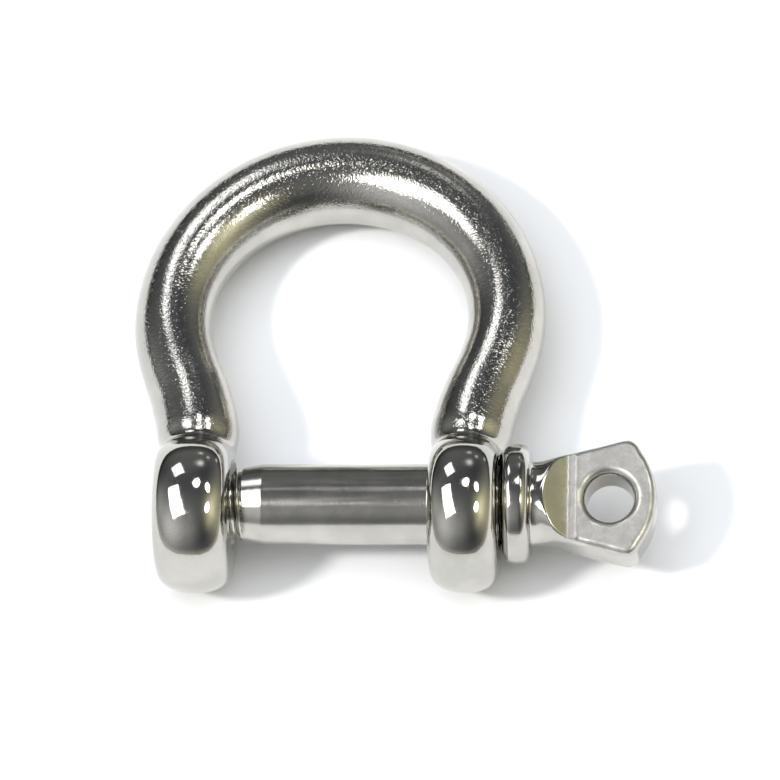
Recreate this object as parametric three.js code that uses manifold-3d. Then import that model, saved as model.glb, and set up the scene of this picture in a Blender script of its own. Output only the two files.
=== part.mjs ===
// Bow shackle, nominal size 8 mm, polished stainless steel. Millimetres, +Z up.
//
// Two real pieces: the bow body (bent round bar with an ear on each end, one
// threaded and one plain) and the one-piece screw pin (thread, shank, collar,
// neck and flat eye). The pin is modelled with a small concentric core in its
// own node, which carries the sliding half of the screw motion.
//
// The geometry is first laid out about the pin axis: X along the pin towards
// its eye, Y from the pin towards the crown of the bow, Z square to the bow.
// The exported group then moves it so that the origin is at the bottom centre.
import * as THREE from 'three';
import { mergeVertices } from 'three/addons/utils/BufferGeometryUtils.js';
import Module from 'manifold-3d';

// ---------------------------------------------------------------- dimensions
const BAR_SIDE_R = 3.95;        // bow bar radius where the bow is widest
const BAR_CROWN_R = 4.52;       // bow bar radius at the crown
const BAR_LEG_R = 4.1;          // bow bar radius just above the ears
const BAR_END_R = 3.3;          // bar radius where it ends inside the ear
const BOW_R = 16.85;            // centreline radius of the round of the bow
const BOW_CENTRE_Y = 21.3;      // centre of that round above the pin axis

const JAW = 19.7;               // clear width between the ears
const THREAD_EAR_T = 7.5;       // thickness of the threaded ear
const PLAIN_EAR_T = 6.9;        // thickness of the plain ear
const EAR_R = 7.85;             // ear outer radius
const EAR_FLAT_R = 5.35;        // radius of the flat on each ear face
const EAR_DROP = 1.1;           // ear centre below the pin axis
const EAR_X = JAW / 2 + (THREAD_EAR_T + PLAIN_EAR_T) / 4;

const SHANK_R = 4.0;            // plain shank radius
const PLAIN_BORE_R = 4.3;       // clearance bore in the plain ear
const BORE_EDGE = 0.35;         // chamfer at the bore mouths

const PITCH = 1.25;             // thread pitch
const THREAD_MINOR_R = 3.0;
const THREAD_MAJOR_R = 3.65;
const THREAD_ROOT_HALF = 0.56;  // half width of the ridge at its root
const THREAD_CREST_HALF = 0.09; // half width of the ridge at its crest
const THREAD_CLEAR = 0.25;      // radial clearance of the ear's thread
const THREAD_STEPS = 18;        // facets per turn

const TIP_X = -17.0;            // end of the pin, just inside the threaded ear
const THREAD_END_X = -8.75;     // end of the thread towards the shank
const LEAD_X = -6.8;            // the cone from thread to shank ends here

const COLLAR_GAP = 0.35;        // collar to plain ear
const COLLAR_R = 5.95;
const COLLAR_W = 2.8;
const COLLAR_EDGE = 0.95;       // edge radius on both sides of the collar
const COLLAR_X = JAW / 2 + PLAIN_EAR_T + COLLAR_GAP;
const NECK_R = 4.2;
const NECK_X = COLLAR_X + COLLAR_W;

const EYE_T = 5.2;              // thickness of the flat eye
const EYE_TILT = 14;            // degrees the eye is turned about the pin axis
const EYE_HOLE_X = 27.75;       // centre of the eye's hole
const EYE_HOLE_R = 2.4;
const EYE_HOLE_EDGE = 0.3;
const EYE_SHOULDER_X = 30.1;    // widest part of the eye
const EYE_HALF_W = 6.05;
const EYE_TIP_X = 32.4;        // crown of the eye's end
const EYE_EDGE = 0.55;          // edge break round the eye
const RUNOUT_X0 = 21.25;        // the neck starts to flatten here
const RUNOUT_X1 = 23.65;        // and reaches the eye's thickness here

const CORE_R = 1.3;             // core of the pin
const CORE_BORE_R = 1.5;        // bore that the core sits in
const CORE_X0 = TIP_X + 0.25;
const CORE_X1 = 15.7;

const ORIGIN = new THREE.Vector3(5.8255, 16.8322, -EAR_R);

// ------------------------------------------------------------ solid modelling
const wasm = await Module();
wasm.setup();

// A closed three.js geometry as a solid.
function solid(geometry) {
  const g = geometry.clone();
  for (const name of Object.keys(g.attributes)) {
    if (name !== 'position') g.deleteAttribute(name);
  }
  const merged = mergeVertices(g, 1e-4);
  const idx = merged.index.array;
  const tri = [];
  for (let i = 0; i < idx.length; i += 3) {
    const [a, b, c] = [idx[i], idx[i + 1], idx[i + 2]];
    if (a !== b && b !== c && c !== a) tri.push(a, b, c);
  }
  const made = new wasm.Manifold(new wasm.Mesh({
    numProp: 3,
    vertProperties: new Float32Array(merged.attributes.position.array),
    triVerts: new Uint32Array(tri),
  }));
  return made;
}

// A solid back as a three.js geometry.
function geometryOf(manifold) {
  const mesh = manifold.simplify(0.004).getMesh();
  const g = new THREE.BufferGeometry();
  const n = mesh.vertProperties.length / mesh.numProp;
  const pos = new Float32Array(n * 3);
  for (let i = 0; i < n; i++) {
    for (let k = 0; k < 3; k++) pos[3 * i + k] = mesh.vertProperties[i * mesh.numProp + k];
  }
  g.setAttribute('position', new THREE.BufferAttribute(pos, 3));
  g.setIndex(new THREE.BufferAttribute(new Uint32Array(mesh.triVerts), 1));
  g.computeVertexNormals();
  return g;
}

// A solid of revolution about the X axis from [x, radius] pairs.
function turned(profile, segments, y = 0) {
  const pts = profile.map(([x, r]) => new THREE.Vector2(r, x));
  const g = new THREE.LatheGeometry(pts, segments);
  g.rotateZ(-Math.PI / 2);
  g.translate(0, y, 0);
  const made = solid(g);
  return made.volume() < 0 ? solid(flipped(g)) : made;
}

function flipped(g) {
  const out = g.clone();
  const idx = out.index.array;
  for (let i = 0; i < idx.length; i += 3) [idx[i + 1], idx[i + 2]] = [idx[i + 2], idx[i + 1]];
  return out;
}

// ------------------------------------------------------------------- bow bar
// Half of the centreline, from inside the ear to the crown.
function halfCentreline() {
  const pts = [
    new THREE.Vector3(EAR_X, 2.6, 0),
    new THREE.Vector3(EAR_X + 0.03, 5.2, 0),
    new THREE.Vector3(EAR_X + 0.3, 8.6, 0),
    new THREE.Vector3(EAR_X + 1.15, 12.2, 0),
    new THREE.Vector3(EAR_X + 2.35, 15.6, 0),
    new THREE.Vector3(EAR_X + 3.15, 18.6, 0),
  ];
  for (const deg of [1, 13, 26, 39, 52, 65, 78, 90]) {
    const a = THREE.MathUtils.degToRad(deg);
    pts.push(new THREE.Vector3(BOW_R * Math.cos(a), BOW_CENTRE_Y + BOW_R * Math.sin(a), 0));
  }
  return pts;
}

function bowBar() {
  const right = halfCentreline();
  const left = right.slice(0, -1).map((p) => new THREE.Vector3(-p.x, p.y, 0));
  const curve = new THREE.CatmullRomCurve3([...right, ...left.reverse()], false, 'centripetal');
  curve.arcLengthDivisions = 800;
  const steps = 66;
  const sides = 20;
  const ring = new THREE.Shape();
  for (let i = 0; i < sides; i++) {
    const a = (2 * Math.PI * (i + 0.5)) / sides;
    const [x, y] = [Math.cos(a), Math.sin(a)];
    if (i === 0) ring.moveTo(x, y);
    else ring.lineTo(x, y);
  }
  ring.closePath();
  const g = new THREE.ExtrudeGeometry(ring, { steps, extrudePath: curve, curveSegments: 1 });
  // The unit section is grown to the bar radius, which varies along the bow.
  const stations = curve.getSpacedPoints(steps);
  const position = g.attributes.position;
  const p = new THREE.Vector3();
  for (let i = 0; i < position.count; i++) {
    p.fromBufferAttribute(position, i);
    let best = 0;
    for (let k = 1; k <= steps; k++) {
      if (stations[k].distanceToSquared(p) < stations[best].distanceToSquared(p)) best = k;
    }
    const c = stations[best];
    const v = p.sub(c).normalize().multiplyScalar(barRadius(c.y)).add(c);
    position.setXYZ(i, v.x, v.y, v.z);
  }
  const made = solid(g);
  return made.volume() < 0 ? solid(flipped(g)) : made;
}

// Bar radius by height above the pin axis.
function barRadius(y) {
  const smooth = THREE.MathUtils.smoothstep;
  const leg = THREE.MathUtils.lerp(BAR_END_R, BAR_LEG_R, smooth(y, 3.6, 8.4));
  const side = THREE.MathUtils.lerp(leg, BAR_SIDE_R, smooth(y, 9, 16));
  const crownShare = THREE.MathUtils.clamp((y - BOW_CENTRE_Y) / BOW_R, 0, 1);
  return THREE.MathUtils.lerp(side, BAR_CROWN_R, crownShare * crownShare);
}

// --------------------------------------------------------------------- ears
// A disc with flat faces and a full, rounded rim.
function earDisc(x, thickness) {
  const half = thickness / 2;
  const profile = [[x - half, 0]];
  const n = 8;
  for (let i = 0; i <= n; i++) {
    const a = -Math.PI / 2 + (Math.PI * i) / n;
    const c = Math.pow(Math.abs(Math.cos(a)), 0.86);
    const s = Math.sign(Math.sin(a)) * Math.pow(Math.abs(Math.sin(a)), 0.86);
    profile.push([x + half * s, EAR_FLAT_R + (EAR_R - EAR_FLAT_R) * c]);
  }
  profile.push([x + half, 0]);
  return turned(profile, 36, -EAR_DROP);
}

// ------------------------------------------------------------------- thread
// A right-hand helix about the X axis, with its section held square to it.
class ThreadHelix extends THREE.Curve {
  constructor(x0, turns, radius) {
    super();
    this.x0 = x0;
    this.turns = turns;
    this.radius = radius;
  }

  getPoint(t, target = new THREE.Vector3()) {
    const a = 2 * Math.PI * this.turns * t;
    return target.set(
      this.x0 + PITCH * this.turns * t,
      this.radius * Math.cos(a),
      this.radius * Math.sin(a),
    );
  }

  getPointAt(t, target) {
    return this.getPoint(t, target);
  }

  computeFrenetFrames(segments) {
    const tangents = [];
    const normals = [];
    const binormals = [];
    for (let i = 0; i <= segments; i++) {
      const a = (2 * Math.PI * this.turns * i) / segments;
      normals.push(new THREE.Vector3(0, Math.cos(a), Math.sin(a)));
      binormals.push(new THREE.Vector3(1, 0, 0));
      tangents.push(new THREE.Vector3(0, -Math.sin(a), Math.cos(a)));
    }
    return { tangents, normals, binormals };
  }
}

// The threaded bar from x0 to x1, grown radially by the clearance given. The
// helix always starts at the same place, so pin and ear stay in phase.
function threadedBar(x0, x1, clear) {
  const start = TIP_X - 2 * PITCH;
  const turns = 10;
  const mid = (THREAD_MINOR_R + THREAD_MAJOR_R) / 2;
  const lo = THREAD_MINOR_R - 0.2 - mid;
  const hi = THREAD_MAJOR_R - mid;
  const section = new THREE.Shape();
  section.moveTo(lo + clear, -THREAD_ROOT_HALF);
  section.lineTo(hi + clear, -THREAD_CREST_HALF);
  section.lineTo(hi + clear, THREAD_CREST_HALF);
  section.lineTo(lo + clear, THREAD_ROOT_HALF);
  section.closePath();
  const g = new THREE.ExtrudeGeometry(section, {
    steps: turns * THREAD_STEPS,
    extrudePath: new ThreadHelix(start, turns, mid),
    curveSegments: 1,
  });
  let ridge = solid(g);
  if (ridge.volume() < 0) ridge = solid(flippedPlain(g));
  const core = turned([[x0, 0], [x0, THREAD_MINOR_R + clear], [x1, THREAD_MINOR_R + clear], [x1, 0]], THREAD_STEPS);
  const limit = turned([[x0, 0], [x0, 6], [x1, 6], [x1, 0]], 24);
  return core.add(ridge.intersect(limit));
}

function flippedPlain(g) {
  const out = g.clone();
  if (out.index) return flipped(out);
  const p = out.attributes.position;
  const a = new THREE.Vector3();
  const b = new THREE.Vector3();
  for (let i = 0; i < p.count; i += 3) {
    a.fromBufferAttribute(p, i + 1);
    b.fromBufferAttribute(p, i + 2);
    p.setXYZ(i + 1, b.x, b.y, b.z);
    p.setXYZ(i + 2, a.x, a.y, a.z);
  }
  return out;
}

// ------------------------------------------------------------------ bow body
function bowBody() {
  const inner = JAW / 2;
  const outer = inner + PLAIN_EAR_T;
  const end = inner + THREAD_EAR_T;
  let body = bowBar()
    .add(earDisc(-inner - THREAD_EAR_T / 2, THREAD_EAR_T))
    .add(earDisc(inner + PLAIN_EAR_T / 2, PLAIN_EAR_T));
  const plain = turned([
    [inner - 1, 0], [inner - 1, PLAIN_BORE_R + BORE_EDGE + 1], [inner + BORE_EDGE, PLAIN_BORE_R],
    [outer - BORE_EDGE, PLAIN_BORE_R], [outer + 1, PLAIN_BORE_R + BORE_EDGE + 1], [outer + 1, 0],
  ], 36);
  const thread = threadedBar(-end - 1, -inner + 1, THREAD_CLEAR);
  const mouthR = THREAD_MAJOR_R + THREAD_CLEAR;
  const mouthIn = turned([
    [-inner - 0.5, 0], [-inner - 0.5, mouthR - 0.4], [-inner + 0.6, mouthR + 0.7], [-inner + 0.6, 0],
  ], 36);
  const mouthOut = turned([
    [-end - 0.6, 0], [-end - 0.6, mouthR + 0.7], [-end + 0.5, mouthR - 0.4], [-end + 0.5, 0],
  ], 36);
  body = body.subtract(plain).subtract(thread).subtract(mouthIn).subtract(mouthOut);
  return body;
}

// ----------------------------------------------------------------- screw pin
// Outline of the flat eye in plan: it flares from the neck and ends in an arc.
function eyeOutline() {
  const inset = EYE_EDGE;
  const h = EYE_HALF_W - inset;
  const tip = EYE_TIP_X - inset;
  const upper = [
    [20.9, 2.6], [22.3, 3.35], [23.6, 3.88], [25.2, 4.35], [27.6, 4.97],
    [EYE_SHOULDER_X - 1.1, h - 0.14], [EYE_SHOULDER_X - 0.45, h - 0.08], [EYE_SHOULDER_X - 0.05, h - 0.38],
    [EYE_SHOULDER_X + 0.32, h - 1.0],
  ];
  // The arc of the end, through the last point above and the tip.
  const [ax, ay] = upper[upper.length - 1];
  const sag = tip - ax;
  const radius = (ay * ay + sag * sag) / (2 * sag);
  const centre = tip - radius;
  const a0 = Math.asin(ay / radius);
  for (let i = 1; i <= 5; i++) {
    const a = a0 * (1 - i / 5);
    upper.push([centre + radius * Math.cos(a), radius * Math.sin(a)]);
  }
  const lower = upper.slice(0, -1).reverse().map(([x, y]) => [x, -y]);
  return [...upper, ...lower];
}

function flatEye() {
  const outline = new THREE.Shape(eyeOutline().map(([x, y]) => new THREE.Vector2(x, y)));
  const g = new THREE.ExtrudeGeometry(outline, {
    depth: EYE_T - 2 * EYE_EDGE,
    bevelEnabled: true,
    bevelThickness: EYE_EDGE,
    bevelSize: EYE_EDGE,
    bevelSegments: 3,
    curveSegments: 1,
    steps: 1,
  });
  g.translate(0, 0, -(EYE_T / 2 - EYE_EDGE));
  let plate = solid(g);
  if (plate.volume() < 0) plate = solid(flippedPlain(g));
  const t = EYE_T / 2;
  const e = EYE_HOLE_EDGE;
  const r = EYE_HOLE_R;
  const pts = [[0, -t - 1], [r + e + 1, -t - 1], [r, -t + e], [r, t - e], [r + e + 1, t + 1], [0, t + 1]];
  const hole = new THREE.LatheGeometry(pts.map(([x, y]) => new THREE.Vector2(x, y)), 28);
  hole.rotateX(Math.PI / 2);
  hole.translate(EYE_HOLE_X, 0, 0);
  let cut = solid(hole);
  if (cut.volume() < 0) cut = solid(flipped(hole));
  return plate.subtract(cut);
}

// The neck between two sloping flats that run out into the eye's faces.
function flattenedNeck() {
  const neck = turned([[NECK_X - 0.6, 0], [NECK_X - 0.6, NECK_R], [24.4, NECK_R], [24.4, 0]], 36);
  const side = new THREE.Shape([
    [NECK_X - 2, -NECK_R - 1], [RUNOUT_X0, -NECK_R - 1], [RUNOUT_X0, -NECK_R], [RUNOUT_X1, -EYE_T / 2 + 0.02],
    [25.4, -EYE_T / 2 + 0.02], [25.4, EYE_T / 2 - 0.02], [RUNOUT_X1, EYE_T / 2 - 0.02], [RUNOUT_X0, NECK_R],
    [RUNOUT_X0, NECK_R + 1], [NECK_X - 2, NECK_R + 1],
  ].map(([x, z]) => new THREE.Vector2(x, z)));
  const g = new THREE.ExtrudeGeometry(side, { depth: 16, bevelEnabled: false, curveSegments: 1, steps: 1 });
  g.rotateX(Math.PI / 2);
  g.translate(0, 8, 0);
  let slab = solid(g);
  if (slab.volume() < 0) slab = solid(flippedPlain(g));
  return neck.intersect(slab);
}

function screwPin() {
  const rim = [];
  for (let i = 0; i <= 4; i++) {
    const a = (Math.PI / 2) * (i / 4);
    rim.push([COLLAR_X + COLLAR_EDGE * (1 - Math.cos(a)), COLLAR_R - COLLAR_EDGE * (1 - Math.sin(a))]);
  }
  for (let i = 4; i >= 0; i--) rim.push([2 * COLLAR_X + COLLAR_W - rim[i][0], rim[i][1]]);
  const shank = turned([
    [THREAD_END_X - 0.3, 0], [THREAD_END_X - 0.3, THREAD_MINOR_R], [THREAD_END_X, THREAD_MAJOR_R],
    [LEAD_X, SHANK_R], [COLLAR_X, SHANK_R], ...rim, [COLLAR_X + COLLAR_W, 0],
  ], 36);
  const thread = threadedBar(TIP_X, THREAD_END_X + 0.4, 0);
  const tip = turned([
    [TIP_X, 0], [TIP_X, THREAD_MINOR_R - 0.15], [TIP_X + 0.9, THREAD_MAJOR_R + 0.1], [40, THREAD_MAJOR_R + 0.1],
    [40, 0],
  ], 36);
  const bore = turned([[TIP_X - 1, 0], [TIP_X - 1, CORE_BORE_R], [CORE_X1 + 0.3, CORE_BORE_R], [CORE_X1 + 0.3, 0]], 12);
  const eye = flatEye().add(flattenedNeck()).rotate([EYE_TILT, 0, 0]);
  return shank.add(thread.intersect(tip)).add(eye).subtract(bore);
}

function pinCore() {
  return turned([
    [CORE_X0, 0], [CORE_X0, CORE_R], [CORE_X1, CORE_R], [CORE_X1, 0],
  ], 12);
}

// ------------------------------------------------------------------ assembly
const polished = new THREE.MeshStandardMaterial({ color: 0xc9c9c6, roughness: 0.1, metalness: 1 });
const satin = new THREE.MeshStandardMaterial({ color: 0xbdbdb9, roughness: 0.25, metalness: 1 });
const core = new THREE.MeshStandardMaterial({ color: 0xa9aaa8, roughness: 0.4, metalness: 1 });

const shackle = new THREE.Group();
shackle.name = 'bow_shackle';
shackle.position.copy(ORIGIN).multiplyScalar(-1);

function place(name, manifold, material) {
  const mesh = new THREE.Mesh(geometryOf(manifold), material);
  mesh.name = name;
  shackle.add(mesh);
}

place('bow_body', bowBody(), polished);
place('screw_pin', screwPin(), satin);
place('pin_core', pinCore(), core);

export default shackle;
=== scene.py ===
"""Bow shackle, 8 mm, polished stainless steel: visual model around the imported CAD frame."""
import math

import bpy
import numpy as np
from mathutils import Matrix, Vector


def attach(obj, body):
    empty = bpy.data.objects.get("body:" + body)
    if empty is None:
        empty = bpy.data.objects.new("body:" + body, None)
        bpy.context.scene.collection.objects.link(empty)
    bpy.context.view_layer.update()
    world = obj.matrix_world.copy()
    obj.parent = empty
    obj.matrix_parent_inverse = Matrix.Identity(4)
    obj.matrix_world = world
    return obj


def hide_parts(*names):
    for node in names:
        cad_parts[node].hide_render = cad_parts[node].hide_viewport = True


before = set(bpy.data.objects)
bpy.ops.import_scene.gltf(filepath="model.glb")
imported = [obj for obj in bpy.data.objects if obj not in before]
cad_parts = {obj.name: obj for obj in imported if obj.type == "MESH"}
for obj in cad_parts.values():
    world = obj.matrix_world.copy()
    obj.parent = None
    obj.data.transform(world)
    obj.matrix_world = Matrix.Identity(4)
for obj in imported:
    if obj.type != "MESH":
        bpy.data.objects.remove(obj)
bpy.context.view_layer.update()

# GEOMETRY-BEGIN
# Lengths here are millimetres about the pin axis: x along the pin, y towards
# the crown, z square to the bow. ORIGIN moves them to the frame.
ORIGIN = np.array([5.8255, 16.8322, -7.85])

BOW_R, BOW_CY = 16.85, 21.3
JAW = 19.7
EAR_T = {-1: 7.5, 1: 6.9}
EAR_R, EAR_FLAT, EAR_DROP = 7.83, 5.35, 1.1
EAR_X = JAW / 2 + (7.5 + 6.9) / 4
BORE_R, BORE_EDGE = 4.3, 0.35
PITCH, MINOR_R, MAJOR_R, THREAD_CLEAR = 1.25, 3.0, 3.65, 0.25
TIP_X, THREAD_END_X, LEAD_X, SHANK_R = -17.0, -8.75, -6.8, 4.0
COLLAR_X, COLLAR_W, COLLAR_R = 17.1, 2.8, 5.95
NECK_R = 4.2
EYE_T, EYE_TILT, HOLE_X, HOLE_R = 5.2, math.radians(14), 27.75, 2.4
SHOULDER_X, HALF_W, EYE_TIP = 30.1, 6.05, 32.4
RUN0, RUN1 = 21.25, 23.65


def smoothstep(t, a, b):
    t = np.clip((t - a) / (b - a), 0, 1)
    return t * t * (3 - 2 * t)


def join(a, b, k):
    """Union with a fillet of about k."""
    h = np.maximum(k - np.abs(a - b), 0) / k
    return np.minimum(a, b) - h * h * h * k / 6


def cut(a, b, k):
    """Intersection with a rounded edge of about k."""
    return -join(-a, -b, k)


def edge(a, b, e):
    """Intersection of two half spaces with an edge radius of e."""
    a = a + e
    b = b + e
    return np.minimum(np.maximum(a, b), 0) + np.hypot(np.maximum(a, 0), np.maximum(b, 0)) - e


def spline(points, per=24, closed=False):
    """Centripetal Catmull-Rom curve through the points, sampled evenly between each two."""
    p = np.array(points, float)
    if closed:
        p = np.vstack([p[-1], p, p[0], p[1]])
    else:
        p = np.vstack([2 * p[0] - p[1], p, 2 * p[-1] - p[-2]])
    out = []
    for i in range(1, len(p) - 2):
        p0, p1, p2, p3 = p[i - 1], p[i], p[i + 1], p[i + 2]
        t1 = np.linalg.norm(p1 - p0) ** 0.5
        t2 = t1 + np.linalg.norm(p2 - p1) ** 0.5
        t3 = t2 + np.linalg.norm(p3 - p2) ** 0.5
        t = np.linspace(t1, t2, per, endpoint=False)[:, None]
        a1 = (t1 - t) / t1 * p0 + t / t1 * p1
        a2 = (t2 - t) / (t2 - t1) * p1 + (t - t1) / (t2 - t1) * p2
        a3 = (t3 - t) / (t3 - t2) * p2 + (t - t2) / (t3 - t2) * p3
        b1 = (t2 - t) / t2 * a1 + t / t2 * a2
        b2 = (t3 - t) / (t3 - t1) * a2 + (t - t1) / (t3 - t1) * a3
        out.append((t2 - t) / (t2 - t1) * b1 + (t - t1) / (t2 - t1) * b2)
    if not closed:
        out.append(p[-2][None])
    return np.vstack(out)


class Field:
    """A smooth function on a plane, held on a fine grid and read back with bicubic interpolation."""

    def __init__(self, lo, hi, step, values):
        self.lo, self.step = np.array(lo, float), step
        n = [int(math.ceil((hi[i] - lo[i]) / step)) + 1 for i in (0, 1)]
        self.n = n
        gx, gy = np.meshgrid(lo[0] + step * np.arange(n[0]), lo[1] + step * np.arange(n[1]), indexing="ij")
        self.v = [f.reshape(n) for f in values(np.stack([gx.ravel(), gy.ravel()], -1))]

    def __call__(self, x, y):
        u = (x - self.lo[0]) / self.step
        w = (y - self.lo[1]) / self.step
        i = np.clip(np.floor(u).astype(np.int32), 1, self.n[0] - 3)
        j = np.clip(np.floor(w).astype(np.int32), 1, self.n[1] - 3)
        fu = np.clip(u - i, 0, 1)
        fw = np.clip(w - j, 0, 1)

        def weights(t):
            return (
                -0.5 * t + t * t - 0.5 * t**3,
                1 - 2.5 * t * t + 1.5 * t**3,
                0.5 * t + 2 * t * t - 1.5 * t**3,
                -0.5 * t * t + 0.5 * t**3,
            )

        wu, ww = weights(fu), weights(fw)
        out = []
        for v in self.v:
            acc = 0
            for a in range(4):
                row = 0
                for b in range(4):
                    row = row + ww[b] * v[i + a - 1, j + b - 1]
                acc = acc + wu[a] * row
            out.append(acc)
        return out


def nearest_on(points, q, closed):
    """Distance from each q to a polyline, the sign of the side it lies on, and the place of the nearest point."""
    a = points if closed else points[:-1]
    b = np.roll(points, -1, 0) if closed else points[1:]
    d = b - a
    dd = (d * d).sum(1)
    best = np.full(len(q), 1e9)
    side = np.ones(len(q))
    near = np.zeros((len(q), 2))
    for s in range(0, len(q), 20000):
        p = q[s : s + 20000]
        rel = p[:, None] - a[None]
        t = np.clip((rel * d).sum(-1) / dd, 0, 1)
        off = rel - t[..., None] * d
        r2 = (off * off).sum(-1)
        k = r2.argmin(1)
        rows = np.arange(len(p))
        best[s : s + 20000] = np.sqrt(r2[rows, k])
        cr = d[k, 0] * off[rows, k, 1] - d[k, 1] * off[rows, k, 0]
        side[s : s + 20000] = np.where(cr >= 0, 1, -1)
        near[s : s + 20000] = a[k] + t[rows, k][:, None] * d[k]
    return best, side, near


def inside(points, q):
    """Whether each q is inside a closed outline."""
    a, b = points, np.roll(points, -1, 0)
    odd = np.zeros(len(q), bool)
    for p0, p1 in zip(a, b):
        if p0[1] == p1[1]:
            continue
        hit = (p0[1] > q[:, 1]) != (p1[1] > q[:, 1])
        odd ^= hit & (q[:, 0] < (p1[0] - p0[0]) * (q[:, 1] - p0[1]) / (p1[1] - p0[1]) + p0[0])
    return odd


# ---- bow body
_half = [(EAR_X, 2.6), (EAR_X + 0.03, 5.2), (EAR_X + 0.3, 8.6), (EAR_X + 1.15, 12.2), (EAR_X + 2.35, 15.6), (EAR_X + 3.15, 18.6)]
_half += [(BOW_R * math.cos(math.radians(d)), BOW_CY + BOW_R * math.sin(math.radians(d))) for d in (1, 13, 26, 39, 52, 65, 78, 90)]
CENTRE = spline(_half + [(-x, y) for x, y in _half[:-1]][::-1], per=16)


def bar_radius(y):
    leg = 3.3 + 0.8 * smoothstep(y, 3.6, 8.4)
    side = leg + (3.90 - leg) * smoothstep(y, 9, 16)
    return side + (4.45 - side) * np.clip((y - BOW_CY) / BOW_R, 0, 1) ** 2


def _bar_values(q):
    d, s, near = nearest_on(CENTRE, q, False)
    return d * s, bar_radius(near[:, 1])


def thread_radius(x, angle):
    """Radius of the thread form at a place on the pin: a right-hand ridge on the core."""
    u = x - PITCH * angle / (2 * math.pi) - TIP_X
    u = np.abs((u / PITCH + 0.5) % 1.0 - 0.5) * PITCH
    flank = MAJOR_R - (u - 0.09) * (0.85 / 0.47)
    return -join(-join(flank, np.full_like(flank, MAJOR_R), 0.22), np.full_like(flank, -MINOR_R), 0.22)


def ear(x, rho, sign):
    half = EAR_T[sign] / 2
    centre = sign * (JAW / 2 + half)
    n = 2 / 0.86
    a = np.maximum(rho - EAR_FLAT, 0) / (EAR_R - EAR_FLAT)
    b = np.abs(x - centre) / half
    k = np.maximum((a**n + b**n) ** (1 / n), 1e-3)
    g = np.hypot((a / k) ** (n - 1) / (EAR_R - EAR_FLAT), (b / k) ** (n - 1) / half)
    return (k - 1) / np.maximum(g, 0.05)


def make_bow():
    plane = Field((-23.5, -11.5), (23.5, 45.0), 0.2, _bar_values)

    def shape(x, y, z, flat=None):
        s, r = plane(x, y) if flat is None else flat
        bar = np.sqrt(s * s + z * z) - r
        bar = np.where(y < 3.2, np.maximum(bar, 3.2 - y), bar)
        rho = np.hypot(y + EAR_DROP, z)
        ears = np.minimum(ear(x, rho, -1), ear(x, rho, 1))
        d = join(bar, ears, 1.5)
        rad = np.hypot(y, z)
        half = np.abs(x - (JAW / 2 + 3.45)) - 3.45
        plain = rad - BORE_R - np.maximum(half + 0.45, 0)
        d = np.where(x > 0, edge(d, -plain, 0.12), d)
        angle = np.arctan2(z, y)
        inner, outer = -JAW / 2 - x, x + JAW / 2 + EAR_T[-1]
        mouth = MAJOR_R + THREAD_CLEAR + 0.45 - np.minimum(inner, outer)
        threaded = rad - join_max(thread_radius(x, angle) + THREAD_CLEAR, mouth, 0.08)
        return np.where(x < 0, edge(d, -threaded * 0.85, 0.06), d)

    return shape, plane


def join_max(a, b, k):
    return -join(-a, -b, k)


# ---- screw pin, laid out with its eye level and turned about the axis at the end
def eye_outline():
    inset = 0.55
    h, tip = HALF_W - inset, EYE_TIP - inset
    upper = [(20.9, 2.6), (22.3, 3.35), (23.6, 3.88), (25.2, 4.35), (27.6, 4.97)]
    upper += [(SHOULDER_X - 1.1, h - 0.14), (SHOULDER_X - 0.45, h - 0.08), (SHOULDER_X - 0.05, h - 0.38), (SHOULDER_X + 0.32, h - 1.0)]
    ax, ay = upper[-1]
    sag = tip - ax
    radius = (ay * ay + sag * sag) / (2 * sag)
    a0 = math.asin(ay / radius)
    for i in range(1, 6):
        a = a0 * (1 - i / 5)
        upper.append((tip - radius + radius * math.cos(a), radius * math.sin(a)))
    half = spline(upper, per=10)
    return np.vstack([half, (half * [1, -1])[:-1][::-1]])


def _eye_values(q):
    outline = eye_outline()
    d, _, _ = nearest_on(outline, q, True)
    return (np.where(inside(outline, q), -d, d) - 0.55,)


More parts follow.
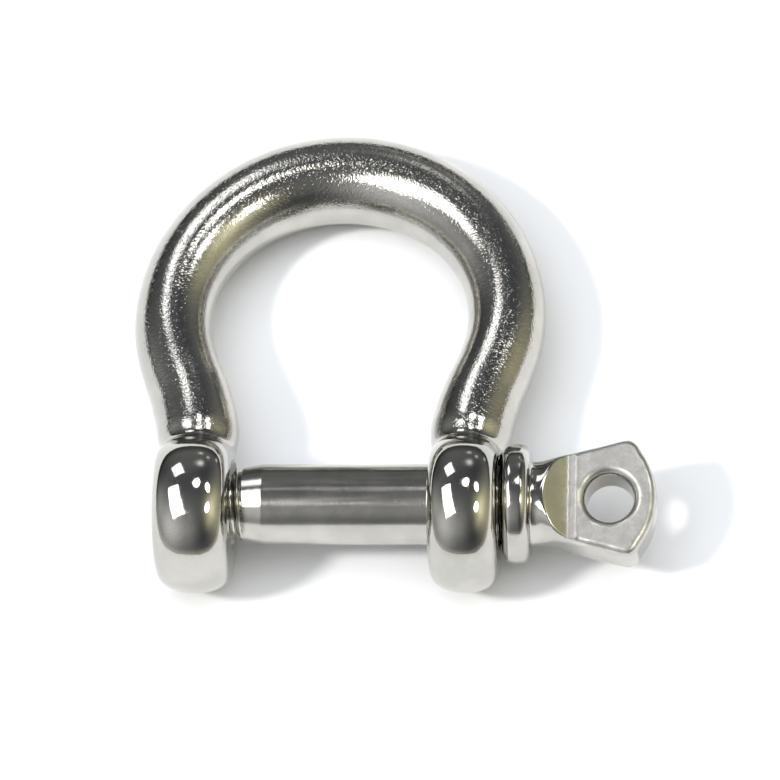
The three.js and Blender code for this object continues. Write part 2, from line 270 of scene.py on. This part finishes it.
def make_pin():
    plane = Field((16.0, -8.0), (36.0, 8.0), 0.1, _eye_values)

    def shape(x, y, z):
        rad = np.hypot(y, z)
        angle = np.arctan2(z, y) + EYE_TILT
        ridge = (rad - thread_radius(x, angle)) * 0.85
        tip = rad - (MINOR_R - 0.15 + np.maximum(x - TIP_X, 0) * 0.95)
        thread = edge(edge(ridge, x - (THREAD_END_X + 0.6), 0.05), edge(TIP_X - x, tip * 0.72, 0.1), 0.05)
        cone = MAJOR_R + (SHANK_R - MAJOR_R) * np.clip((x - THREAD_END_X) / (LEAD_X - THREAD_END_X), 0, 1)
        start = MINOR_R + (x - THREAD_END_X + 0.3) / 0.3 * (MAJOR_R - MINOR_R)
        shank = edge(rad - np.minimum(cone, np.maximum(start, MINOR_R - 0.4)), np.abs(x - 5.0) - 14.0, 0.05)
        across = (x - COLLAR_X - COLLAR_W / 2) / (COLLAR_W / 2)
        collar = edge(rad - COLLAR_R + 0.10 * across * across, (np.abs(across) - 1) * COLLAR_W / 2, 0.95)
        d = join(join(thread, shank, 0.1), collar, 0.35)
        slope = (NECK_R - EYE_T / 2) / (RUN1 - RUN0)
        height = NECK_R - (x - RUN0) * slope
        lift = 0.6 * smoothstep(x, 24.3, 26.5)
        slab = np.abs(z) - join_max(height, EYE_T / 2 + lift, 0.25)
        slab = slab / np.hypot(1, slope * (1 - smoothstep(x, RUN1 - 0.3, RUN1 + 0.3)))
        square = 2 + 2.2 * smoothstep(x, 20.4, RUN1)
        wide = NECK_R + 0.2 * smoothstep(x, 21.4, RUN1)
        ring = ((np.abs(y) / wide) ** square + (np.abs(z) / NECK_R) ** square) ** (1 / square) - 1
        neck = edge(ring * NECK_R, np.abs(x - 21.4) - 3.0, 0.1)
        (flat,) = plane(x, y)
        plate = edge(flat, np.abs(z) - EYE_T / 2, 0.75)
        soft = 0.02 + 0.2 * (1 - smoothstep(x, RUN1 - 0.6, RUN1 + 0.1))
        head = cut(join(neck, plate, 0.5), slab, soft)
        d = join(d, np.where(x < 19.0, np.maximum(head, 19.0 - x), head), 0.45)
        hole = HOLE_R - np.hypot(x - HOLE_X, y)
        return np.where(x > 22, edge(d, hole, 0.85), d)

    return shape


def surface_nets(shape, lo, hi, step):
    """A closed quad mesh of where shape is zero, and the outward direction at each point."""
    n = [int(math.ceil((hi[i] - lo[i]) / step)) + 1 for i in range(3)]
    axes = [lo[i] + step * np.arange(n[i]) for i in range(3)]
    F = np.empty(n, np.float32)
    for i in range(0, n[0], 24):
        gx, gy, gz = np.meshgrid(axes[0][i : i + 24], axes[1], axes[2], indexing="ij")
        F[i : i + 24] = shape(gx.ravel(), gy.ravel(), gz.ravel()).reshape(gx.shape)
    cells = [m - 1 for m in n]
    count = np.zeros(cells, np.float32)
    acc = [np.zeros(cells, np.float32) for _ in range(3)]
    edges = []
    for ax in range(3):
        lo_s = [slice(None)] * 3
        hi_s = [slice(None)] * 3
        lo_s[ax], hi_s[ax] = slice(0, n[ax] - 1), slice(1, n[ax])
        a, b = F[tuple(lo_s)], F[tuple(hi_s)]
        cross = (a < 0) != (b < 0)
        t = np.where(cross, a / np.where(cross, a - b, 1), 0).astype(np.float32)
        edges.append((cross, a < 0))
        o1, o2 = (ax + 1) % 3, (ax + 2) % 3
        for d1 in (0, 1):
            for d2 in (0, 1):
                s = [slice(None)] * 3
                s[o1], s[o2] = slice(d1, n[o1] - 1 + d1), slice(d2, n[o2] - 1 + d2)
                c = cross[tuple(s)]
                count += c
                acc[ax] += t[tuple(s)]
                acc[o1] += c * d1
                acc[o2] += c * d2
    live = count > 0
    number = np.full(cells, -1, np.int64)
    number[live] = np.arange(live.sum())
    where = np.argwhere(live)
    local = np.stack([acc[i][live] / count[live] for i in range(3)], -1)
    V = np.array(lo) + step * (where + local)
    quads = []
    for ax in range(3):
        cross, below = edges[ax]
        o1, o2 = (ax + 1) % 3, (ax + 2) % 3
        at = np.argwhere(cross)
        ok = (at[:, o1] > 0) & (at[:, o2] > 0) & (at[:, o1] < n[o1] - 1) & (at[:, o2] < n[o2] - 1)
        at = at[ok]
        corner = []
        for d1, d2 in ((1, 1), (0, 1), (0, 0), (1, 0)):
            c = at.copy()
            c[:, o1] -= d1
            c[:, o2] -= d2
            corner.append(number[c[:, 0], c[:, 1], c[:, 2]])
        q = np.stack(corner, -1)
        flip = ~below[at[:, 0], at[:, 1], at[:, 2]]
        q[flip] = q[flip][:, ::-1]
        quads.append(q)
    Q = np.vstack(quads)

    def value_and_slope(P, e=0.004):
        v = shape(P[:, 0], P[:, 1], P[:, 2])
        g = np.empty_like(P)
        for i in range(3):
            d = np.zeros(3)
            d[i] = e
            A, B = P + d, P - d
            g[:, i] = (shape(A[:, 0], A[:, 1], A[:, 2]) - shape(B[:, 0], B[:, 1], B[:, 2])) / (2 * e)
        return v, g

    for _ in range(3):
        v, g = value_and_slope(V)
        move = (v / np.maximum((g * g).sum(1), 0.1))[:, None] * g
        size = np.linalg.norm(move, axis=1)
        move *= (np.minimum(size, 0.4 * step) / np.maximum(size, 1e-9))[:, None]
        V = V - move
    v, g = value_and_slope(V)
    N = g / np.maximum(np.linalg.norm(g, axis=1), 1e-9)[:, None]
    return V, Q, N


def bow_mesh(step):
    shape, _ = make_bow()
    return surface_nets(shape, (-21.8, -9.7, -8.5), (21.8, 43.5, 8.5), step)


def pin_mesh(step):
    V, Q, N = surface_nets(make_pin(), (-17.8, -6.8, -6.8), (33.2, 6.8, 6.8), step)
    c, s = math.cos(EYE_TILT), math.sin(EYE_TILT)
    turn = np.array([[1, 0, 0], [0, c, -s], [0, s, c]])
    return V @ turn.T, Q, N @ turn.T
# GEOMETRY-END


# ------------------------------------------------------------------- pieces
def piece(name, made, body, nodes, materials):
    V, Q, N = made
    co = (V - ORIGIN) / 1000.0
    mesh = bpy.data.meshes.new(name)
    mesh.vertices.add(len(co))
    mesh.vertices.foreach_set("co", co.astype(np.float32).ravel())
    mesh.loops.add(Q.size)
    mesh.loops.foreach_set("vertex_index", Q.astype(np.int32).ravel())
    mesh.polygons.add(len(Q))
    mesh.polygons.foreach_set("loop_start", np.arange(0, Q.size, 4, dtype=np.int32))
    mesh.polygons.foreach_set("loop_total", np.full(len(Q), 4, np.int32))
    mesh.update(calc_edges=True)
    mesh.validate()
    mesh.polygons.foreach_set("use_smooth", np.ones(len(mesh.polygons), bool))
    mesh.normals_split_custom_set_from_vertices(N.astype(np.float32).tolist())
    for m in materials:
        mesh.materials.append(m)
    obj = bpy.data.objects.new(name, mesh)
    bpy.context.scene.collection.objects.link(obj)
    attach(obj, body)
    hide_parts(*nodes)
    return obj


# ---------------------------------------------------------------- materials
class Graph:
    """Short calls for building a node tree."""

    def __init__(self, tree):
        self.tree = tree
        tree.nodes.clear()

    def node(self, kind, inputs=None, **settings):
        n = self.tree.nodes.new(kind)
        for k, v in settings.items():
            setattr(n, k, v)
        for k, v in (inputs or {}).items():
            s = n.inputs[k]
            if isinstance(v, bpy.types.NodeSocket):
                self.tree.links.new(v, s)
            else:
                s.default_value = v
        return n

    def link(self, a, b):
        self.tree.links.new(a, b)

    def math(self, op, a, b=0.0, c=0.0, clamp=False):
        return self.node("ShaderNodeMath", {0: a, 1: b, 2: c}, operation=op, use_clamp=clamp).outputs[0]

    def ramp(self, value, lo, hi, out_lo=0.0, out_hi=1.0, smooth=True):
        n = self.node(
            "ShaderNodeMapRange",
            {"Value": value, "From Min": lo, "From Max": hi, "To Min": out_lo, "To Max": out_hi},
            interpolation_type="SMOOTHSTEP" if smooth else "LINEAR",
        )
        return n.outputs["Result"]

    def noise(self, vector, scale, detail=2.0, rough=0.5, distortion=0.0):
        n = self.node(
            "ShaderNodeTexNoise",
            {"Vector": vector, "Scale": scale, "Detail": detail, "Roughness": rough, "Distortion": distortion},
        )
        return n.outputs["Fac"]

    def pits(self, vector, scale, lo, hi):
        n = self.node("ShaderNodeTexVoronoi", {"Vector": vector, "Scale": scale}, feature="F1")
        return self.ramp(n.outputs["Distance"], lo, hi)

    def mix(self, fac, a, b):
        n = self.node("ShaderNodeMix", {"Factor": fac}, data_type="RGBA")
        for name, v in (("A", a), ("B", b)):
            s = [i for i in n.inputs if i.name == name and i.type == "RGBA"][0]
            if isinstance(v, bpy.types.NodeSocket):
                self.link(v, s)
            else:
                s.default_value = v
        return [o for o in n.outputs if o.type == "RGBA"][0]


def millimetres(g):
    """Object coordinates in millimetres about the pin axis."""
    tc = g.node("ShaderNodeTexCoord")
    return g.node(
        "ShaderNodeMapping",
        {"Vector": tc.outputs["Object"], "Scale": (1000, 1000, 1000), "Location": tuple(float(v) for v in ORIGIN)},
        vector_type="POINT",
    ).outputs["Vector"]


STEEL_LIGHT = (0.52, 0.507, 0.468, 1)
STEEL_DARK = (0.445, 0.436, 0.407, 1)


def bow_material():
    m = bpy.data.materials.new("polished_bow_steel")
    m.use_nodes = True
    g = Graph(m.node_tree)
    p = millimetres(g)
    on_bar = g.ramp(g.node("ShaderNodeSeparateXYZ", {"Vector": p}).outputs["Y"], 5.2, 7.4)
    cloud = g.noise(p, 0.22, 3.0, 0.55)
    fine = g.noise(p, 2.6, 1.5, 0.5)
    grit = g.noise(p, 5.5, 1.0, 0.5)
    pock = g.pits(p, 2.1, 0.05, 0.27)
    speck = g.pits(p, 4.2, 0.05, 0.30)
    peel = g.noise(p, 0.55, 2.0, 0.5)
    colour = g.mix(g.ramp(cloud, 0.35, 0.65), STEEL_LIGHT, STEEL_DARK)
    colour = g.mix(g.math("MULTIPLY", g.math("SUBTRACT", 1.0, speck), 0.5), colour, (0.30, 0.295, 0.285, 1))
    rough = g.math("ADD", g.ramp(fine, 0.3, 0.75, 0.03, 0.08), g.math("MULTIPLY", cloud, 0.03))
    rough = g.math("ADD", rough, g.math("MULTIPLY", on_bar, 0.055))
    pitted = g.ramp(on_bar, 0.0, 1.0, 0.05, 1.0, smooth=False)
    texture = g.math("MULTIPLY", fine, 0.017)
    texture = g.math("ADD", texture, g.math("MULTIPLY", grit, 0.014))
    texture = g.math("ADD", texture, g.math("MULTIPLY", pock, 0.012))
    texture = g.math("ADD", texture, g.math("MULTIPLY", speck, 0.007))
    height = g.math("ADD", g.math("MULTIPLY", peel, 0.012), g.math("MULTIPLY", texture, pitted))
    bump = g.node("ShaderNodeBump", {"Height": height, "Strength": 1.0, "Distance": 0.001})
    bsdf = g.node(
        "ShaderNodeBsdfPrincipled",
        {"Base Color": colour, "Metallic": 1.0, "Roughness": rough, "Normal": bump.outputs["Normal"]},
    )
    out = g.node("ShaderNodeOutputMaterial")
    g.link(bsdf.outputs[0], out.inputs["Surface"])
    return m


def pin_material():
    """Turned and polished shank, collar and thread, and a satin, tumbled eye."""
    m = bpy.data.materials.new("satin_pin_steel")
    m.use_nodes = True
    g = Graph(m.node_tree)
    p = millimetres(g)
    sep = g.node("ShaderNodeSeparateXYZ", {"Vector": p})
    x, y, z = sep.outputs
    c, s = math.cos(EYE_TILT), math.sin(EYE_TILT)
    lift = g.math("ABSOLUTE", g.math("ADD", g.math("MULTIPLY", y, -s), g.math("MULTIPLY", z, c)))
    on_eye = g.math("MULTIPLY", g.ramp(x, 22.6, 24.0), g.ramp(lift, EYE_T / 2 - 0.60, EYE_T / 2 - 0.08))
    # lengthwise grain of the shank: noise drawn out along the pin
    drawn = g.node("ShaderNodeMapping", {"Vector": p, "Scale": (0.05, 1.0, 1.0)}, vector_type="POINT").outputs[0]
    lines = g.noise(drawn, 2.4, 4.0, 0.6)
    turned = g.noise(g.node("ShaderNodeMapping", {"Vector": p, "Scale": (1.0, 0.1, 0.1)}).outputs[0], 5.0, 3.0, 0.6)
    fine = g.noise(p, 3.0, 4.0, 0.62)
    mottle = g.noise(p, 0.75, 4.0, 0.6, 0.4)
    cloud = g.noise(p, 0.3, 3.0, 0.5)
    speck = g.pits(p, 4.6, 0.03, 0.26)
    base = g.mix(g.ramp(cloud, 0.35, 0.65), STEEL_LIGHT, STEEL_DARK)
    face = g.mix(g.ramp(mottle, 0.32, 0.68), (0.66, 0.65, 0.625, 1), (0.44, 0.435, 0.42, 1))
    colour = g.mix(on_eye, base, face)
    colour = g.mix(g.math("MULTIPLY", g.math("SUBTRACT", 1.0, speck), 0.45), colour, (0.34, 0.335, 0.32, 1))
    on_shank = g.math("SUBTRACT", 1.0, g.ramp(x, 16.4, 17.2))
    smooth_rough = g.math("ADD", g.ramp(lines, 0.3, 0.7, 0.05, 0.11), g.math("MULTIPLY", fine, 0.04))
    smooth_rough = g.math("ADD", smooth_rough, g.math("MULTIPLY", on_shank, 0.055))
    satin_rough = g.ramp(mottle, 0.25, 0.75, 0.30, 0.44)
    rough = g.math(
        "ADD",
        g.math("MULTIPLY", smooth_rough, g.math("SUBTRACT", 1.0, on_eye)),
        g.math("MULTIPLY", satin_rough, on_eye),
    )
    height = g.math("MULTIPLY", fine, g.ramp(on_shank, 0.0, 1.0, 0.0030, 0.0060, smooth=False))
    height = g.math("ADD", height, g.math("MULTIPLY", fine, g.math("MULTIPLY", on_eye, 0.010)))
    height = g.math("ADD", height, g.math("MULTIPLY", lines, 0.0050))
    height = g.math("ADD", height, g.math("MULTIPLY", turned, 0.0010))
    height = g.math("ADD", height, g.math("MULTIPLY", speck, 0.0015))
    height = g.math("ADD", height, g.math("MULTIPLY", g.math("MULTIPLY", mottle, on_eye), 0.02))
    bump = g.node("ShaderNodeBump", {"Height": height, "Strength": 1.0, "Distance": 0.001})
    bsdf = g.node(
        "ShaderNodeBsdfPrincipled",
        {"Base Color": colour, "Metallic": 1.0, "Roughness": rough, "Normal": bump.outputs["Normal"]},
    )
    out = g.node("ShaderNodeOutputMaterial")
    g.link(bsdf.outputs[0], out.inputs["Surface"])
    return m


# --------------------------------------------------------------- the studio
TILT = math.radians(4.87)  # the shackle lies on its ears and its crown


def floor_to_frame(v):
    """A direction given square to the floor, as a direction in the frame."""
    x, y, z = v
    return Vector((x, y * math.cos(TILT) - z * math.sin(TILT), y * math.sin(TILT) + z * math.cos(TILT)))


def towards(azimuth, elevation):
    """Direction in the frame: azimuth from +Y towards +X and elevation above the floor, in degrees."""
    a, e = math.radians(azimuth), math.radians(elevation)
    return floor_to_frame((math.sin(a) * math.cos(e), math.cos(a) * math.cos(e), math.sin(e)))


CENTRE_POINT = Vector((-0.002, 0.004, 0.006))


def floor():
    """A pale table, level with the resting shackle and flattening out far from it."""
    n = 96
    half = 0.9
    t = np.linspace(-1, 1, n + 1)
    t = np.sign(t) * np.abs(t) ** 2 * half
    gx, gy = np.meshgrid(t, t, indexing="ij")
    run = gy + 0.01727
    reach = 0.07
    far = np.abs(run) > reach
    level = np.where(far, np.sign(run) * (reach + 0.12 * np.tanh((np.abs(run) - reach) / 0.12)), run)
    gz = level * math.tan(TILT) + 0.00002
    co = np.stack([gx, gy, gz], -1).reshape(-1, 3)
    mesh = bpy.data.meshes.new("table_top")
    idx = np.arange((n + 1) ** 2).reshape(n + 1, n + 1)
    quads = np.stack([idx[:-1, :-1], idx[1:, :-1], idx[1:, 1:], idx[:-1, 1:]], -1).reshape(-1, 4)
    mesh.from_pydata(co.tolist(), [], quads.tolist())
    mesh.polygons.foreach_set("use_smooth", np.ones(len(mesh.polygons), bool))
    obj = bpy.data.objects.new("table_top", mesh)
    bpy.context.scene.collection.objects.link(obj)
    m = bpy.data.materials.new("pale_table")
    m.use_nodes = True
    g = Graph(m.node_tree)
    tc = g.node("ShaderNodeTexCoord")
    cloud = g.noise(tc.outputs["Object"], 30.0, 2.0, 0.5)
    colour = g.mix(cloud, (0.86, 0.86, 0.87, 1), (0.89, 0.89, 0.90, 1))
    bsdf = g.node("ShaderNodeBsdfPrincipled", {"Base Color": colour, "Roughness": 0.75, "Specular IOR Level": 0.1})
    out = g.node("ShaderNodeOutputMaterial")
    g.link(bsdf.outputs[0], out.inputs["Surface"])
    mesh.materials.append(m)
    return obj


def panel(name, azimuth, elevation, wide, high, radiance, colour=(1, 1, 1), shape="RECTANGLE", roll=0.0, glossy=True, diffuse=False, distance=1.2):
    """A soft light panel: its middle's direction, and its angular width and height in degrees."""
    light = bpy.data.lights.new(name, "AREA")
    light.shape = shape
    w = 2 * distance * math.tan(math.radians(wide / 2))
    h = 2 * distance * math.tan(math.radians(high / 2))
    light.size = w
    if shape in ("RECTANGLE", "ELLIPSE"):
        light.size_y = h
    else:
        h = w
    area = w * h * (math.pi / 4 if shape in ("DISK", "ELLIPSE") else 1)
    light.energy = radiance * math.pi * area
    light.color = colour
    obj = bpy.data.objects.new(name, light)
    bpy.context.scene.collection.objects.link(obj)
    d = towards(azimuth, elevation)
    up = floor_to_frame((0, 0, 1))
    right = d.cross(up).normalized()
    top = right.cross(d).normalized()
    r = math.radians(roll)
    rx = right * math.cos(r) + top * math.sin(r)
    ry = -right * math.sin(r) + top * math.cos(r)
    rot = Matrix((rx, ry, rx.cross(ry))).transposed()
    if (rot @ Vector((0, 0, -1))).dot(d) > 0:
        rot = Matrix((-rx, ry, (-rx).cross(ry))).transposed()
    obj.matrix_world = Matrix.Translation(CENTRE_POINT + d * distance) @ rot.to_4x4()
    obj.visible_camera = False
    obj.visible_glossy = glossy
    obj.visible_diffuse = diffuse
    return obj


def room():
    """The room around the table, as soft lobes of light and dark in fixed directions."""
    world = bpy.data.worlds.new("room")
    bpy.context.scene.world = world
    world.use_nodes = True
    g = Graph(world.node_tree)
    tc = g.node("ShaderNodeTexCoord")
    d = g.node("ShaderNodeVectorMath", {0: tc.outputs["Generated"]}, operation="NORMALIZE").outputs[0]
    up = floor_to_frame((0, 0, 1))
    rise = g.node("ShaderNodeVectorMath", {0: d, 1: tuple(up)}, operation="DOT_PRODUCT").outputs["Value"]
    # walls by height: pale at the table's edge, grey above, darker overhead
    far = g.node("ShaderNodeVectorMath", {0: d, 1: tuple(towards(-5, 0))}, operation="DOT_PRODUCT").outputs["Value"]
    edge_of_table = g.mix(g.ramp(far, -0.25, 0.45), (0.66, 0.64, 0.58, 1), (0.08, 0.08, 0.075, 1))
    wall = g.mix(g.ramp(rise, -0.02, 0.22), edge_of_table, (0.185, 0.19, 0.197, 1))
    total = g.mix(g.ramp(rise, 0.55, 0.97), wall, (0.104, 0.108, 0.119, 1))
    for azimuth, elevation, width, colour in LOBES:
        k = math.log(2) / (1 - math.cos(math.radians(width)))
        dot = g.node("ShaderNodeVectorMath", {0: d, 1: tuple(towards(azimuth, elevation))}, operation="DOT_PRODUCT").outputs["Value"]
        lobe = g.math("POWER", math.e, g.math("MULTIPLY", g.math("SUBTRACT", dot, 1.0), k))
        scaled = g.node("ShaderNodeVectorMath", {0: tuple(colour), "Scale": lobe}, operation="SCALE").outputs[0]
        total = g.node("ShaderNodeVectorMath", {0: total, 1: scaled}, operation="ADD").outputs[0]
    total = g.node("ShaderNodeVectorMath", {0: total, 1: (0.03, 0.03, 0.03)}, operation="MAXIMUM").outputs[0]
    back = g.node("ShaderNodeBackground", {"Color": total, "Strength": 1.0})
    out = g.node("ShaderNodeOutputWorld")
    g.link(back.outputs[0], out.inputs["Surface"])
    return world


# azimuth, elevation, half width of each lobe in degrees, and what it adds
LOBES = [
    (163, 32, 22, (-0.16, -0.16, -0.16)),
    (-176, 20, 14, (-0.05, -0.05, -0.05)),
    (28, 36, 18, (-0.10, -0.10, -0.09)),
    (95, 22, 24, (0.40, 0.37, 0.19)),
    (106, 46, 13, (1.00, 0.96, 0.64)),
    (134, 40, 8, (0.18, 0.17, 0.11)),
    (78, 36, 12, (0.16, 0.16, 0.08)),
    (4, 13, 2.2, (0.9, 0.9, 0.85)),
    (17, 17, 2.2, (0.9, 0.9, 0.85)),
    (33, 6, 2.2, (0.9, 0.9, 0.85)),
    (-48, 14, 20, (-0.10, -0.10, -0.10)),
    (8, 33, 4, (1.2, 1.2, 1.15)),
    (-138, 38, 26, (0.70, 0.70, 0.70)),
    (-88, 20, 15, (0.24, 0.24, 0.245)),
]


def lights():
    panel("window_large", -103, 65, 46, 23, 3.9, (1.0, 1.0, 0.99))
    panel("window_small", -26, 42, 15, 20, 2.4, (0.96, 0.97, 1.0))
    panel("lamp_far", 12.7, 68.6, 11, 14, 6.0, (1, 1, 0.98), "ELLIPSE")
    panel("lamp_right", 60.8, 57.4, 15, 12, 6.0, (1, 1, 1.0), "ELLIPSE")
    panel("lamp_near_right", 114.7, 56.6, 15, 13, 6.0, (1, 1, 1.0), "ELLIPSE")
    panel("overhead", 20, 84, 70, 70, 2.1, (0.90, 0.935, 1.0), glossy=False, diffuse=True)
    sun = bpy.data.lights.new("key", "SUN")
    sun.angle = math.radians(8)
    sun.energy = 2.1
    sun.color = (1.0, 0.99, 0.96)
    obj = bpy.data.objects.new("key", sun)
    bpy.context.scene.collection.objects.link(obj)
    obj.rotation_mode = "QUATERNION"
    obj.rotation_quaternion = towards(-111, 49).to_track_quat("Z", "Y")
    obj.visible_glossy = False


# Camera: aimed and rolled to the viewpoint in the 780 x 780 frame, in units of the 8 mm bar
VIEW = dict(az=8.598, el=58.689, roll=-7.541, dist=100.01, focal=7986.7, tx=0.667, ty=1.656)


def camera():
    a, e, r = (math.radians(VIEW[k]) for k in ("az", "el", "roll"))
    d = Vector((math.sin(a) * math.cos(e), -math.cos(a) * math.cos(e), math.sin(e)))
    place = (Vector((VIEW["tx"], VIEW["ty"], 0)) + d * VIEW["dist"]) * 8.0 - Vector(ORIGIN)
    right = (-d).cross(Vector((0, 0, 1))).normalized()
    up = right.cross(-d)
    R = right * math.cos(r) + up * math.sin(r)
    U = -right * math.sin(r) + up * math.cos(r)
    cam = bpy.data.cameras.new("camera")
    cam.sensor_width = 36.0
    cam.sensor_fit = "HORIZONTAL"
    cam.lens = VIEW["focal"] * 36.0 / 780.0
    cam.clip_start = 0.05
    cam.clip_end = 20.0
    obj = bpy.data.objects.new("camera", cam)
    bpy.context.scene.collection.objects.link(obj)
    obj.matrix_world = Matrix.Translation(place / 1000.0) @ Matrix((R, U, d)).transposed().to_4x4()
    bpy.context.scene.camera = obj


camera()
room()
lights()
floor()

bow = piece("bow", bow_mesh(0.25), "bow", ["bow_body"], [bow_material()])
pin = piece("screw_pin_polished", pin_mesh(0.17), "pin", ["screw_pin", "pin_core"], [pin_material()])

# the hidden CAD nodes carry finished materials too
for node, finish in (("bow_body", bow.data.materials[0]), ("screw_pin", pin.data.materials[0]), ("pin_core", pin.data.materials[0])):
    for i in range(len(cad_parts[node].material_slots)):
        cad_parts[node].material_slots[i].material = finish

scene = bpy.context.scene
scene.view_settings.view_transform = "Standard"
scene.view_settings.look = "None"
scene.view_settings.exposure = 0.0
scene.view_settings.gamma = 1.0
